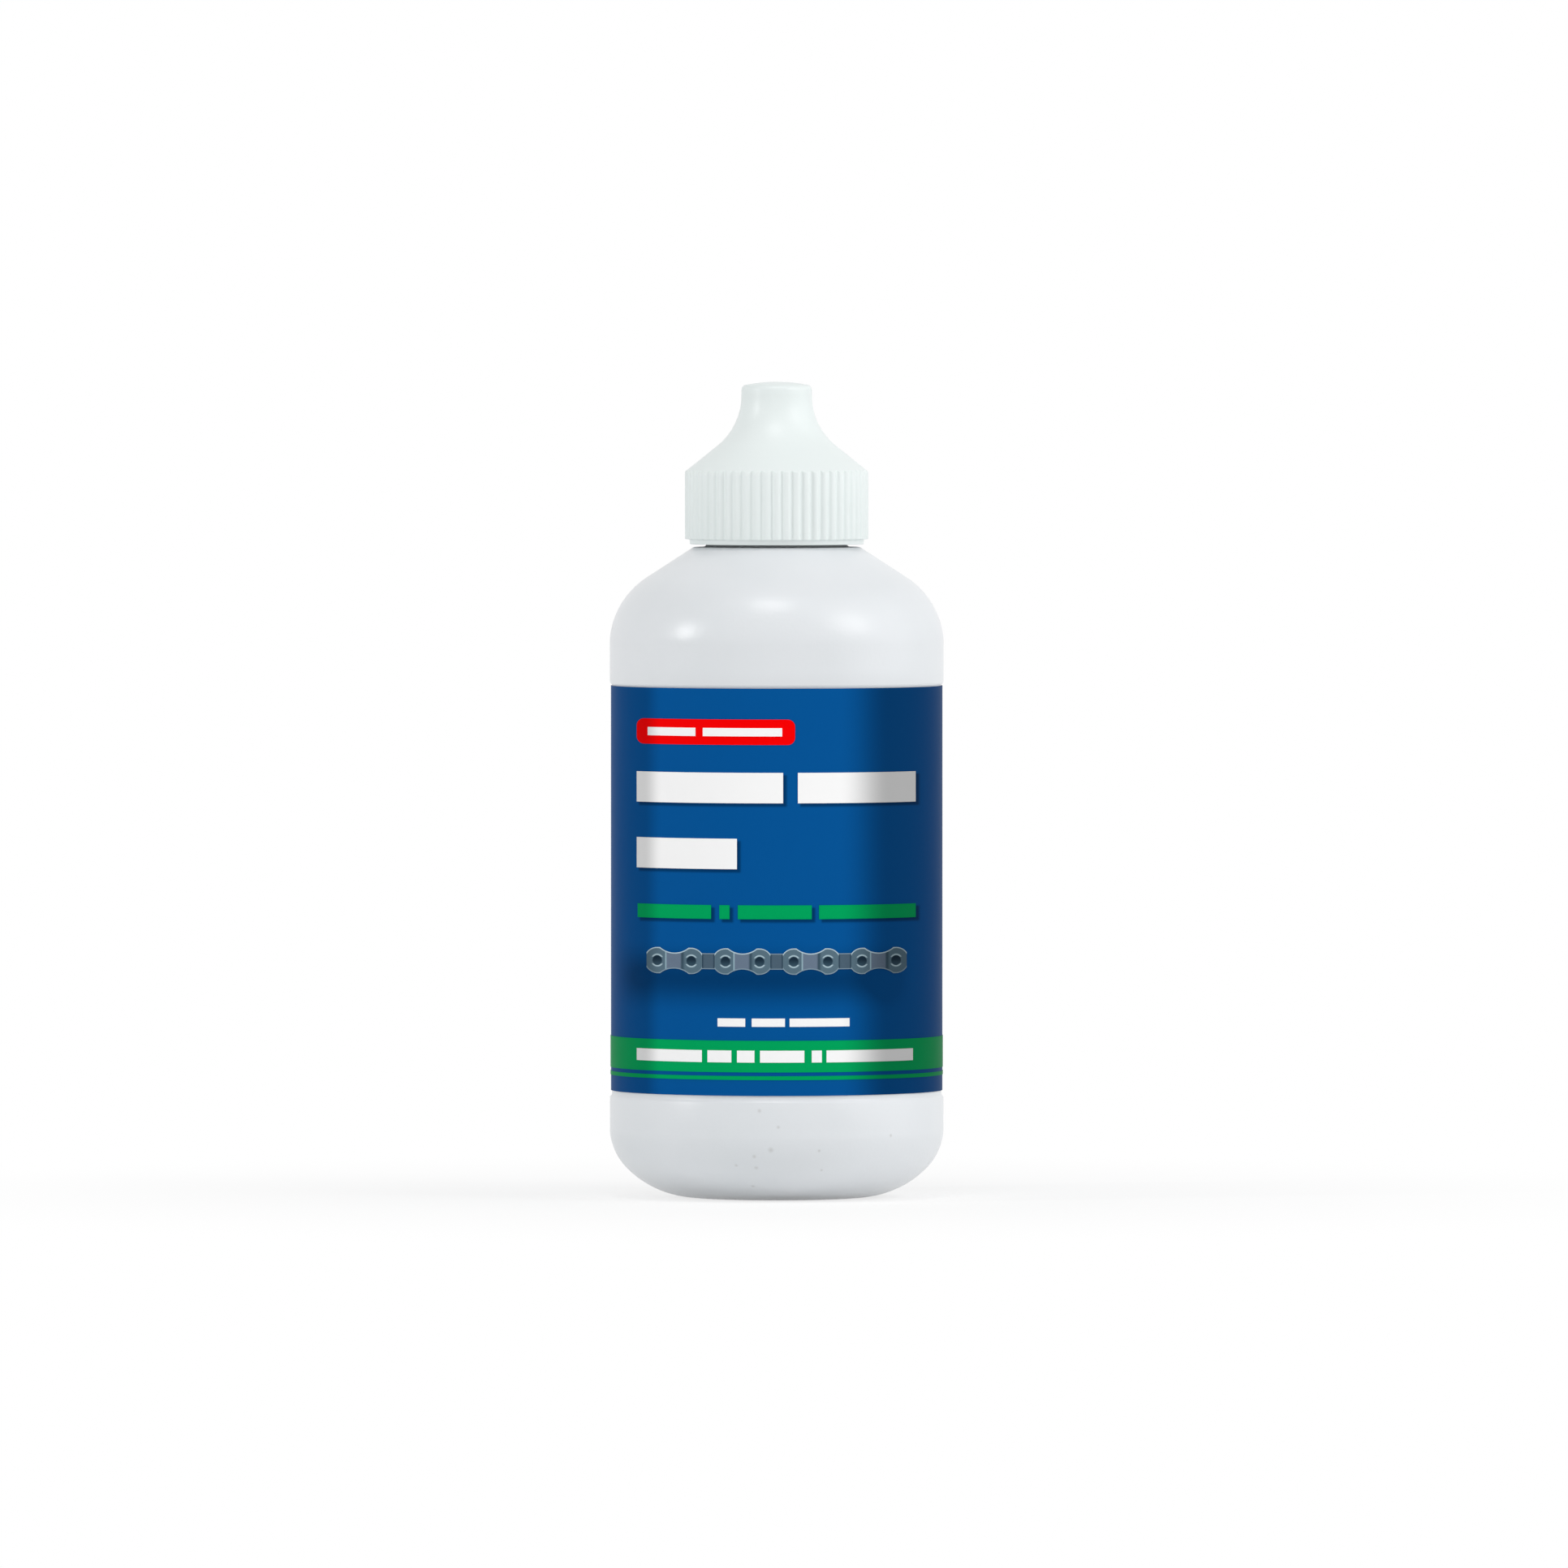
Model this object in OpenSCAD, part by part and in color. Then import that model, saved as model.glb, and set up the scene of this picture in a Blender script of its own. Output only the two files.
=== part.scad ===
// Chain lube squeeze bottle, closed by a ribbed screw cap with a hollow nose.
// A dropper nozzle is pressed into the threaded neck, and the nose of the cap covers it.
// Millimetres. The bottle stands on z = 0, its axis is +Z and the printed front faces -Y.

/* [Bottle] */
// Outside diameter of the body
bottle_d = 36.4; // [34:0.2:44]
// Height of the flat land around the neck
land_h = 70.9; // [69:0.1:90]
// Width of the flat land around the neck
land_w = 1.4; // [0.8:0.1:3]
// Radius that rounds the shoulder into the side
shoulder_r = 8.85; // [5:0.05:9.5]
// Slope of the shoulder, in degrees below level
shoulder_slope = 33; // [28:1:38]
// Radius at the foot of the side wall
corner_r = 6.55; // [4:0.05:8]
// Larger radius that carries the corner on to the standing ring
heel_r = 10.6; // [8.5:0.1:12]
// Angle at which the corner radius hands over to the heel radius
heel_angle = 45; // [35:1:55]
// Width of the ring that the bottle stands on
ring_w = 0.8; // [0.4:0.1:1.5]
// Height of the hollow under the base
push_up = 1.2; // [0.6:0.1:2]
// Wall of the blown body
wall = 1; // [0.7:0.05:1.3]
// Length of the mould's pinch-off ridge under the base
pinch_l = 11; // [6:0.5:13]
// Width of that ridge
pinch_w = 0.7; // [0.4:0.1:1.5]
// Height of that ridge
pinch_h = 0.3; // [0.15:0.05:0.45]

/* [Neck and thread] */
// Diameter of the neck at the root of its thread
neck_d = 15.3; // [14:0.1:17]
// Wall of the neck
neck_wall = 1.45; // [1.2:0.05:1.8]
// Height of the neck above the land
neck_h = 7; // [6.8:0.1:9]
// Radius at the foot of the neck
neck_fillet = 0.4; // [0.2:0.05:0.5]
// Bevel on the rim
rim_bevel = 0.3; // [0.1:0.05:0.5]
// Rise of the thread in one turn
pitch = 3.175; // [2.8:0.025:3.4]
// Depth of the thread
thread_h = 1; // [0.8:0.05:1.1]
// Width of the thread at its root
thread_root_w = 1.6; // [1.3:0.05:1.7]
// Width of the thread at its crest
thread_crest_w = 0.7; // [0.4:0.05:0.9]
// Turns of thread on the neck
neck_turns = 1.25; // [1:0.05:1.3]
// Turns of thread in the cap
cap_turns = 1.1; // [0.8:0.05:1.2]
// From the rim down to the middle of the upper end of the neck's thread
thread_drop = 1.7; // [1.2:0.05:1.8]
// Gap between the crest of one thread and the root of the other
thread_clear = 0.2; // [0.15:0.05:0.35]
// Gap between the flanks that carry the closed cap
flank_gap = 0.12; // [0.08:0.01:0.3]

/* [Nozzle and seal] */
// Thickness of the nozzle's flange
flange_t = 0.7; // [0.5:0.05:1]
// How far the flange stays inside the edge of the rim
flange_inset = 0.3; // [0.1:0.05:0.5]
// Length of the sleeve that is pressed into the neck
sleeve_l = 5; // [3.5:0.1:8]
// Wall of the sleeve and of the nozzle
plug_wall = 0.9; // [0.7:0.05:1.1]
// Height of the nozzle above its flange
nozzle_h = 8.3; // [7.4:0.1:14]
// Diameter of the nozzle above its shoulder
nozzle_d = 5.8; // [5:0.1:6.4]
// Height of the nozzle's shoulder
nozzle_shoulder_h = 1.8; // [1.4:0.1:2.2]
// Diameter of the nozzle at its tip
tip_d = 3.4; // [3:0.1:4]
// Radius on the tip
tip_round = 0.4; // [0.2:0.05:0.5]
// Diameter of the hole that the oil drips from
orifice_d = 1.1; // [0.8:0.05:1.3]
// Length of that hole
orifice_l = 1.2; // [1:0.1:1.8]
// Thickness of the soft ring on the flange
seal_t = 0.5; // [0.3:0.05:0.8]
// How far the ring reaches past the flange
seal_over = 0.2; // [0:0.05:0.4]
// Gap between the ring and the shoulder of the nozzle
seal_clear = 0.3; // [0.2:0.05:0.5]

/* [Cap] */
// Gap under the closed cap
cap_gap = 0.3; // [0.2:0.05:1]
// Wall of the smooth lip under the ribs
lip_wall = 0.65; // [0.55:0.05:1]
// Wall of the flare and of the nose
cap_wall = 1.2; // [1:0.05:1.4]
// Number of ribs round the skirt
rib_count = 56; // [40:1:58]
// Width of a rib, all of its round
rib_w = 1; // [0.8:0.02:1.04]
// Depth of the grooves between the ribs
groove_depth = 0.25; // [0.15:0.01:0.4]
// How far the grooves stand out over the lip
lip_inset = 0.25; // [0.1:0.05:0.4]
// Height of the smooth lip under the ribs
lip_h = 0.55; // [0.3:0.05:1]
// Slope of the flare above the ribs, in degrees below level
flare_slope = 38.8; // [36:0.2:42]
// Length of the straight end of the nose
nose_straight = 1.5; // [1.1:0.1:2]
// Gap between the nozzle's tip and the side of the nose
nose_clear = 0.95; // [0.5:0.05:1.2]
// Gap between the nozzle's tip and the end of the nose
tip_clear = 0.8; // [0.5:0.1:1.2]
// Radius of the slightly domed end
crown_r = 18; // [12:1:30]
// Radius on the edge of the domed end
crown_edge = 0.6; // [0.3:0.05:0.9]
// Width of the ring in the cap that presses on the seal
press_w = 1.1; // [0.8:0.05:1.3]
// How far the sealing pin reaches into the nozzle
pin_reach = 0.7; // [0.4:0.1:1]
// Gap round that pin
pin_clear = 0.1; // [0.06:0.02:0.16]

/* [Label] */
// Height of the label's lower edge
label_z = 11.7; // [10:0.1:14]
// Height of the label
label_h = 44.1; // [42:0.1:45]
// Thickness of the label's film
label_t = 0.08; // [0.04:0.01:0.1]
// Gap between the label's two ends, at the back
label_gap = 1.2; // [0.5:0.1:4]
// Depth of the panel that the label lies in
panel_depth = 0.2; // [0.18:0.01:0.3]
// Edge of the panel that the label leaves free
panel_margin = 0.3; // [0.1:0.05:0.6]
// Thickness of one layer of ink
ink_t = 0.05; // [0.02:0.005:0.06]

/* [Print] */
// Where the print starts, left of the middle
print_left = 15.2; // [14:0.1:15.6]
// Place of the red tag's middle, as a share of the label's height
tag_share = 0.893; // [0.88:0.001:0.92]
// Size of the red tag
tag_size = [17.2, 2.75];
// Radius on the tag's corners
tag_round = 0.8; // [0.3:0.1:1.2]
// Place of the upper title line's middle, as a share of the label's height
title_share = 0.756; // [0.74:0.001:0.78]
// Place of the lower title line's middle, as a share of the label's height
subtitle_share = 0.594; // [0.57:0.001:0.61]
// Height of the title bars
title_bar = 3.3; // [2:0.1:4]
// Place of the green line of bars, as a share of the label's height
tagline_share = 0.451; // [0.44:0.001:0.47]
// Height of its bars
tagline_bar = 1.5; // [0.8:0.1:2]
// Place of the pictured chain, as a share of the label's height
chain_share = 0.33; // [0.32:0.001:0.35]
// Distance between the pins of the pictured chain
chain_pitch = 3.7; // [3.2:0.05:3.75]
// Number of its pins
chain_pins = 8; // [4:2:8]
// Half height of its link ends
link_r = 1.42; // [1.2:0.01:1.45]
// From a pin to the flattened end of its link
link_end = 1.17; // [1:0.01:1.3]
// Half height of its links at the waist
waist_r = 0.86; // [0.6:0.02:1]
// Radius of its pin heads
pin_head_r = 0.55; // [0.4:0.05:0.7]
// Place of the small line of bars, as a share of the label's height
note_share = 0.18; // [0.17:0.001:0.2]
// Height of its bars
note_bar = 0.9; // [0.5:0.1:1.4]
// Place of the green band's middle, as a share of the label's height
band_share = 0.0966; // [0.09:0.0001:0.105]
// Height of the green band
band_h = 3.42; // [2.5:0.02:3.6]
// Height of the bars on the band
band_bar = 1.3; // [0.8:0.1:2]
// Place of the thin green line's middle, as a share of the label's height
line_share = 0.0438; // [0.03:0.0001:0.046]
// Height of the thin green line
line_h = 0.42; // [0.2:0.02:0.5]

/* [Hidden] */
$fn = 96;
// Overlap of outlines that are joined, and how far cutting shapes reach past what they cut
nudge = 0.01;
over = 1;

// Bottle
bottle_r = bottle_d / 2;
neck_r = neck_d / 2;
bore_r = neck_r - neck_wall;
rim_z = land_h + neck_h;
land_r = neck_r + land_w;
shoulder_n = [sin(shoulder_slope), cos(shoulder_slope)];
shoulder_c = shoulder_n * [land_r, land_h];
shoulder_x = bottle_r - shoulder_r;
shoulder_z = (shoulder_c - shoulder_r - shoulder_n[0] * shoulder_x) / shoulder_n[1];
heel_n = [cos(heel_angle), -sin(heel_angle)];
corner_at = [bottle_r - corner_r, heel_r - (heel_r - corner_r) * sin(heel_angle)];
heel_at = [corner_at[0] - (heel_r - corner_r) * cos(heel_angle), heel_r];
dome_edge = heel_at[0] - ring_w;
dome_r = (dome_edge * dome_edge + push_up * push_up) / (2 * push_up);
panel_r = bottle_r - panel_depth;

// Thread, in steps of its sweep: how many make a turn, how many fade in at each end, and how far
// the fade starts inside the wall. The thread is sunk in its wall by thread_sink.
thread_sides = 40;
thread_fade = 5;
fade_start = 0.5;
thread_sink = 0.25;
// From the cap's foot to the lower flank of its thread
thread_lead = 0.3;
crest_r = neck_r + thread_h;
cap_bore_r = crest_r + thread_clear;
cap_crest_r = neck_r + thread_clear;
flank = (thread_root_w - thread_crest_w) / 2 / thread_h;
neck_thread_z = rim_z - thread_drop - neck_turns * pitch;
thread_offset = thread_root_w - (cap_bore_r - neck_r) * flank + flank_gap;

// Nozzle and seal
flange_r = neck_r - flange_inset;
flange_z = rim_z + flange_t;
tip_z = flange_z + nozzle_h;
tip_r = tip_d / 2;
sleeve_r = bore_r - plug_wall;
nozzle_r = nozzle_d / 2;
shoulder_base_r = bore_r - plug_wall - seal_clear;
orifice_r = orifice_d / 2;
// Height and width of the cone that leads to the orifice
throat_step = 0.35;
seal_z = flange_z + seal_t;

// Cap
rib_r = rib_w / 2;
cap_z = land_h + cap_gap;
lip_r = cap_bore_r + lip_wall;
groove_r = lip_r + lip_inset;
cap_r = groove_r + groove_depth;
rib_z = cap_z + lip_h;
nose_r = tip_r + nose_clear + cap_wall;
ceiling_z = tip_z + tip_clear;
cap_top = ceiling_z + cap_wall;
flare_top = cap_top - nose_straight;
flare_n = [sin(flare_slope), cos(flare_slope)];
flare_c = flare_n * [cap_r, seal_z];
flare_r = (flare_n * [nose_r, flare_top] - flare_c) / (1 - flare_n[0]);
flare_at = [nose_r + flare_r, flare_top];
cap_thread_z = cap_z + thread_root_w / 2 + thread_lead;
cap_thread_a = 360 * (cap_thread_z + thread_offset - neck_thread_z) / pitch;

// Label and print
label_r = panel_r + label_t;
label_span = 360 - label_gap / panel_r * 180 / PI;
tag_z = tag_share * label_h - tag_size[1] / 2;
band_z = band_share * label_h - band_h / 2;
line_z = line_share * label_h - line_h / 2;
title_rows = [title_share * label_h, subtitle_share * label_h];
// From a pin of the pictured chain to where its link starts to narrow
waist_inset = 0.3;
// Each word's place is [start, length], measured from the print's left edge
tag_words = [[1.2, 5.2], [7.2, 8.6]];
title_words = [[[0, 15.9], [17.5, 12.8]], [[0, 10.9]]];
tagline_words = [[0.1, 8], [9, 1.1], [11, 8], [19.8, 10.5]];
note_words = [[8.8, 3], [12.5, 3.6], [16.6, 6.5]];
band_words = [[0, 7.1], [7.7, 2.6], [10.9, 1.9], [13.4, 4.8], [19, 1.1], [20.6, 9.4]];

// Outer half of a slice of the disc round a point, between its radii to p and to q
module slice(at, r, p, q) {
    intersection() {
        translate(at)
            circle(r);
        polygon([(at + p) / 2, 2 * p - at, 2 * q - at, (at + q) / 2]);
    }
}

// Body outline, set in by t all round, up to the land
module body_outline(t) {
    side = bottle_r - t;
    heel_start = [heel_at[0], t];
    heel_end = corner_at + (corner_r - t) * heel_n;
    shoulder_end = [shoulder_x, shoulder_z] + (shoulder_r - t) * shoulder_n;
    land_edge = [(shoulder_c - t - shoulder_n[1] * (land_h - t)) / shoulder_n[0], land_h - t];
    polygon([[0, t], heel_start, heel_end, [side, corner_at[1]], [side, shoulder_z], shoulder_end,
        land_edge, [0, land_h - t]]);
    slice(heel_at, heel_r - t, heel_start, heel_end);
    slice(corner_at, corner_r - t, heel_end, [side, corner_at[1]]);
    slice([shoulder_x, shoulder_z], shoulder_r - t, [side, shoulder_z], shoulder_end);
}

// Disc whose upper edge is the domed base, raised by t
module base_dome(t) {
    translate([0, push_up - dome_r])
        intersection() {
            circle(dome_r + t);
            square(dome_r + t + over);
        }
}

// Shallow panel round the side for the label
module label_panel() {
    low = label_z - panel_margin;
    high = label_z + label_h + panel_margin;
    polygon([[bottle_r + over, low - panel_depth - over], [panel_r, low], [panel_r, high],
        [bottle_r + over, high + panel_depth + over]]);
}

// Neck with a rounded foot and a bevelled rim
module neck_outline() {
    polygon([[0, land_h - wall], [neck_r, land_h - wall], [neck_r, rim_z - rim_bevel],
        [neck_r - rim_bevel, rim_z], [0, rim_z]]);
    difference() {
        translate([0, land_h - nudge])
            square([neck_r + neck_fillet, neck_fillet + nudge]);
        translate([neck_r + neck_fillet, land_h + neck_fillet])
            circle(neck_fillet);
    }
}

module bottle_section() {
    difference() {
        union() {
            body_outline(0);
            neck_outline();
        }
        base_dome(0);
        label_panel();
        difference() {
            body_outline(wall);
            base_dome(wall);
        }
        translate([0, land_h - wall - nudge])
            square([bore_r, neck_h + wall + over]);
    }
}

// Trapezoid thread swept up a helix from height z and angle a. It grows from root_r to tip_r,
// outwards or inwards, is sunk a little into its wall and fades out at both ends.
module thread(root_r, tip_r, z, a, turns) {
    out = sign(tip_r - root_r);
    steps = round(turns * thread_sides);
    function height(i) = thread_h * min(1, (min(i, steps - i) - fade_start) / thread_fade);
    function half(h) = thread_root_w / 2 - flank * h;
    function corners(i) = let (h = height(i))
        [[-thread_sink, -half(-thread_sink)], [h, -half(h)], [h, half(h)],
            [-thread_sink, half(-thread_sink)]];
    points = [for (i = [0:steps], c = corners(i))
        let (turn = a + 360 * i / thread_sides, r = root_r + out * c[0])
            [r * cos(turn), r * sin(turn), z + pitch * i / thread_sides + c[1]]];
    sides = [for (i = [0:steps - 1], k = [0:3])
        let (p = 4 * i + k, q = 4 * i + (k + 1) % 4)
            each [[p, p + 4, q], [q, p + 4, q + 4]]];
    last = 4 * steps;
    faces = concat([[0, 1, 2], [0, 2, 3]], sides,
        [[last, last + 2, last + 1], [last, last + 3, last + 2]]);
    polyhedron(points, out < 0 ? faces : [for (f = faces) [f[2], f[1], f[0]]]);
}

// Low ridge across the hollow base, where the two mould halves pinched the tube shut
module pinch_off() {
    translate([0, pinch_w / 2, push_up - dome_r])
        rotate([90, 0, 0])
            linear_extrude(pinch_w)
                intersection() {
                    difference() {
                        circle(dome_r + wall / 2);
                        circle(dome_r - pinch_h);
                    }
                    translate([-pinch_l / 2, 0])
                        square([pinch_l, dome_r + wall]);
                }
}

module bottle() {
    color([0.87, 0.885, 0.895])
        union() {
            rotate_extrude()
                bottle_section();
            thread(neck_r, crest_r, neck_thread_z, 0, neck_turns);
            pinch_off();
        }
}

// Half section of the nozzle, with the sleeve that fills the neck's bore
module nozzle_section() {
    cone_z = flange_z + nozzle_shoulder_h;
    sleeve_z = rim_z - sleeve_l;
    bevel = plug_wall / 2;
    round_at = [tip_r - tip_round, tip_z - tip_round];
    throat_r = orifice_r + throat_step;
    difference() {
        union() {
            polygon([[0, sleeve_z], [bore_r - bevel, sleeve_z], [bore_r, sleeve_z + 2 * bevel],
                [bore_r, rim_z], [flange_r, rim_z], [flange_r, flange_z], [shoulder_base_r, flange_z],
                [nozzle_r, cone_z], [tip_r, round_at[1]], [round_at[0], tip_z], [0, tip_z]]);
            slice(round_at, tip_round, [tip_r, round_at[1]], [round_at[0], tip_z]);
        }
        polygon([[0, sleeve_z - over], [sleeve_r, sleeve_z - over], [sleeve_r, rim_z - bevel],
            [nozzle_r - plug_wall, cone_z - bevel], [throat_r, tip_z - orifice_l - throat_step],
            [orifice_r, tip_z - orifice_l], [orifice_r, tip_z + over], [0, tip_z + over]]);
    }
}

module nozzle_plug() {
    color([0.93, 0.93, 0.9])
        rotate_extrude()
            nozzle_section();
}

module seal_ring() {
    color([0.8, 0.82, 0.84])
        translate([0, 0, flange_z])
            difference() {
                cylinder(h = seal_t, r = flange_r + seal_over);
                translate([0, 0, -over])
                    cylinder(h = seal_t + 2 * over, r = sleeve_r);
            }
}

// Where the flare's slope, set in by t, meets radius x, and where its curve takes over
function slope_at(x, t) = [x, (flare_c - t - flare_n[0] * x) / flare_n[1]];
function flare_start(t) = flare_at - (flare_r + t) * flare_n;

// Outside of the cap, with the domed and rounded end of its nose
module cap_outline() {
    dome_at = [0, cap_top - crown_r];
    edge_x = nose_r - crown_edge;
    edge_at = [edge_x, dome_at[1] + sqrt(pow(crown_r - crown_edge, 2) - edge_x * edge_x)];
    edge_end = dome_at + (edge_at - dome_at) * crown_r / (crown_r - crown_edge);
    nose_side = [nose_r, edge_at[1]];
    difference() {
        polygon([[0, cap_z], [lip_r, cap_z], [lip_r, rib_z], [cap_r, rib_z], slope_at(cap_r, 0),
            flare_start(0), flare_at, [nose_r, flare_top], nose_side, edge_end, [0, cap_top]]);
        translate(flare_at)
            circle(flare_r);
    }
    slice(edge_at, crown_edge, nose_side, edge_end);
    slice(dome_at, crown_r, edge_end, [0, cap_top]);
}

// Inside of the cap, open at the foot
module cap_hollow() {
    side = nose_r - cap_wall;
    difference() {
        polygon([[0, cap_z - over], [cap_bore_r, cap_z - over], slope_at(cap_bore_r, cap_wall),
            flare_start(cap_wall), flare_at, [side, flare_top], [side, ceiling_z], [0, ceiling_z]]);
        translate(flare_at)
            circle(flare_r + cap_wall);
    }
}

// Half section of the cap, with the ring that presses on the seal and the pin that shuts the nozzle
module cap_section() {
    press_x = (sleeve_r + flange_r) / 2 - press_w / 2;
    difference() {
        cap_outline();
        cap_hollow();
    }
    intersection() {
        cap_outline();
        translate([press_x, seal_z])
            square([press_w, nozzle_shoulder_h]);
    }
    translate([0, tip_z - pin_reach])
        square([orifice_r - pin_clear, ceiling_z + nudge - tip_z + pin_reach]);
}

// Everything between the rounded ribs, up through the slope above them
module grooves() {
    translate([0, 0, cap_z])
        linear_extrude(slope_at(groove_r, 0)[1] + over - cap_z)
            difference() {
                circle(cap_r + over);
                circle(groove_r);
                for (i = [0:rib_count - 1])
                    rotate(360 * i / rib_count)
                        translate([cap_r - rib_r, 0])
                            circle(rib_r);
            }
}

module cap() {
    color([0.89, 0.93, 0.92])
        union() {
            difference() {
                rotate_extrude()
                    cap_section();
                grooves();
            }
            thread(cap_bore_r, cap_crest_r, cap_thread_z, cap_thread_a, cap_turns);
        }
}

// Band of film or ink round the bottle, open at the back
module wrap(z, h, r, t) {
    rotate([0, 0, 90 + (360 - label_span) / 2])
        rotate_extrude(angle = label_span)
            translate([r, label_z + z])
                square([t, h]);
}

module label() {
    color([0.024, 0.33, 0.59])
        wrap(0, label_h, panel_r, label_t);
}

// Ink laid on the label's front in the flat outline of its children, on top of the layers below
module ink(layer = 0) {
    r = label_r + layer * ink_t;
    intersection() {
        translate([0, 0, label_z])
            difference() {
                cylinder(h = label_h, r = r + ink_t);
                translate([0, 0, -over])
                    cylinder(h = label_h + 2 * over, r = r);
            }
        translate([0, 0, label_z])
            rotate([90, 0, 0])
                linear_extrude(bottle_r)
                    translate([-print_left, 0])
                        children();
    }
}

// Line of plain bars, one for each word, about height z
module bars(words, z, h) {
    for (word = words)
        translate([word[0], z - h / 2])
            square([word[1], h]);
}

module rounded(size, r) {
    translate([r, 0])
        square([size[0] - 2 * r, size[1]]);
    translate([0, r])
        square([size[0], size[1] - 2 * r]);
    for (x = [r, size[0] - r], z = [r, size[1] - r])
        translate([x, z])
            circle(r);
}

module print_red() {
    color([0.9, 0.02, 0.02])
        ink()
            translate([0, tag_z])
                rounded(tag_size, tag_round);
}

module print_green() {
    color([0, 0.64, 0.35]) {
        wrap(band_z, band_h, label_r, ink_t);
        wrap(line_z, line_h, label_r, ink_t);
        ink()
            bars(tagline_words, tagline_share * label_h, tagline_bar);
    }
}

module print_white() {
    color([0.95, 0.95, 0.95]) {
        ink() {
            for (i = [0:len(title_words) - 1])
                bars(title_words[i], title_rows[i], title_bar);
            bars(note_words, note_share * label_h, note_bar);
        }
        ink(1) {
            bars(tag_words, tag_z + tag_size[1] / 2, note_bar);
            bars(band_words, band_z + band_h / 2, band_bar);
        }
    }
}

// Places its children at the given pins of the pictured chain, which is centred on the label
module at_pins(pins) {
    chain_l = (chain_pins - 1) * chain_pitch;
    for (i = pins)
        translate([print_left - chain_l / 2 + i * chain_pitch, chain_share * label_h])
            children();
}

// One link plate from its left pin, with flattened round ends and hollowed sides
module link_plate() {
    hollow = link_r - waist_r;
    half_l = chain_pitch / 2 - waist_inset;
    side_r = (half_l * half_l + hollow * hollow) / (2 * hollow);
    difference() {
        intersection() {
            union() {
                for (x = [0, chain_pitch])
                    translate([x, 0])
                        circle(link_r);
                translate([0, -link_r])
                    square([chain_pitch, 2 * link_r]);
            }
            translate([-link_end, -link_r])
                square([chain_pitch + 2 * link_end, 2 * link_r]);
        }
        for (s = [-1, 1])
            translate([chain_pitch / 2, s * (waist_r + side_r)])
                circle(side_r);
    }
}

module pin_heads() {
    at_pins([0:chain_pins - 1])
        circle(pin_head_r);
}

// Outer links, and the inner ones that show between them, with a hole for each pin
module print_links() {
    color([0.42, 0.48, 0.55])
        ink()
            difference() {
                union() {
                    at_pins([0:2:chain_pins - 2])
                        link_plate();
                    at_pins([1:2:chain_pins - 3])
                        translate([0, -waist_r])
                            square([chain_pitch, 2 * waist_r]);
                }
                pin_heads();
            }
}

module print_pins() {
    color([0.2, 0.26, 0.33])
        ink()
            pin_heads();
}

bottle();
nozzle_plug();
seal_ring();
cap();
label();
print_red();
print_green();
print_white();
print_links();
print_pins();
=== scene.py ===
import math

import bmesh
import bpy
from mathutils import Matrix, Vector


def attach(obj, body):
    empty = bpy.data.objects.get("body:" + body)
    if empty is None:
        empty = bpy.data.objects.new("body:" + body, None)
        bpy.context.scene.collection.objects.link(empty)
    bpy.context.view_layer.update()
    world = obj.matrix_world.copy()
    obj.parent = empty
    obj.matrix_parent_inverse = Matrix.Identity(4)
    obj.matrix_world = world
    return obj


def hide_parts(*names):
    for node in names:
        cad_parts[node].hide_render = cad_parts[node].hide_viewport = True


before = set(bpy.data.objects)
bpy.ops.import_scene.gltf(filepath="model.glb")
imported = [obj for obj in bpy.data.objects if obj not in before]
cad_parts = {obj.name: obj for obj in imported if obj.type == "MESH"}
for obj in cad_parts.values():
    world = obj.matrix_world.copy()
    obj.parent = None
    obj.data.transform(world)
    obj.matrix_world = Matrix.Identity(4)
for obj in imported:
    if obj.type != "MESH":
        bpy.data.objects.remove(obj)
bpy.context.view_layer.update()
scene = bpy.context.scene
scene.view_settings.view_transform = "Standard"

# ------------------------------------------------------------------ camera
# A very long lens looks slightly down on the front of the standing bottle. The bottle's axis is a
# little left of the picture's middle, and one pixel covers 0.0885 mm at the axis.
MM = 0.001
PICTURE_PIXELS = 1932
MM_PER_PIXEL = 0.0885
AXIS_PIXEL_X = 957
FLOOR_PIXEL_Y = 1475
CAMERA_RISE = math.radians(1.4)
LENS = 500
SENSOR = 36
NEAREST_SEEN = 0.01

picture_width = PICTURE_PIXELS * MM_PER_PIXEL * MM
aim = Vector(((PICTURE_PIXELS / 2 - AXIS_PIXEL_X) * MM_PER_PIXEL * MM, 0,
              (FLOOR_PIXEL_Y - PICTURE_PIXELS / 2) * MM_PER_PIXEL * MM))
towards_camera = Vector((0, -math.cos(CAMERA_RISE), math.sin(CAMERA_RISE)))
camera_data = bpy.data.cameras.new("camera")
camera_data.lens = LENS
camera_data.sensor_width = SENSOR
camera_data.clip_start = NEAREST_SEEN
camera = bpy.data.objects.new("camera", camera_data)
camera.location = aim + towards_camera * picture_width * LENS / SENSOR
camera.rotation_euler = towards_camera.to_track_quat("Z", "Y").to_euler()
scene.collection.objects.link(camera)
scene.camera = camera

# ------------------------------------------------------------------ bottle
# Blow-moulded polyethylene in one piece, opaque white with a satin skin. A fine ridge on either
# side shows where the two halves of the mould met, and the thread is blown with the neck.
BODY_R = 18.17
PANEL_R = 17.95
PANEL = (11.2, 55.9)
PANEL_RAMP = 0.2
RAMP_EASE, RAMP_ROUND = 0.1, 0.03
PLAIN_BELOW, PLAIN_ABOVE = 3, 2
WALL = 1.0
LAND = (9.05, 70.9)
SHOULDER_R, SHOULDER_AT = 8.85, (9.35, 60.15)
CORNER_R, CORNER_AT = 6.55, (11.65, 7.736)
HEEL_R, HEEL_AT = 10.6, (8.786, 10.6)
SHOULDER_SLOPE = 33
PUSH_UP = 1.2
RING_R = 7.99
NECK_R = 7.65
BORE_R = 6.2
RIM_Z = 77.9
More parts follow.
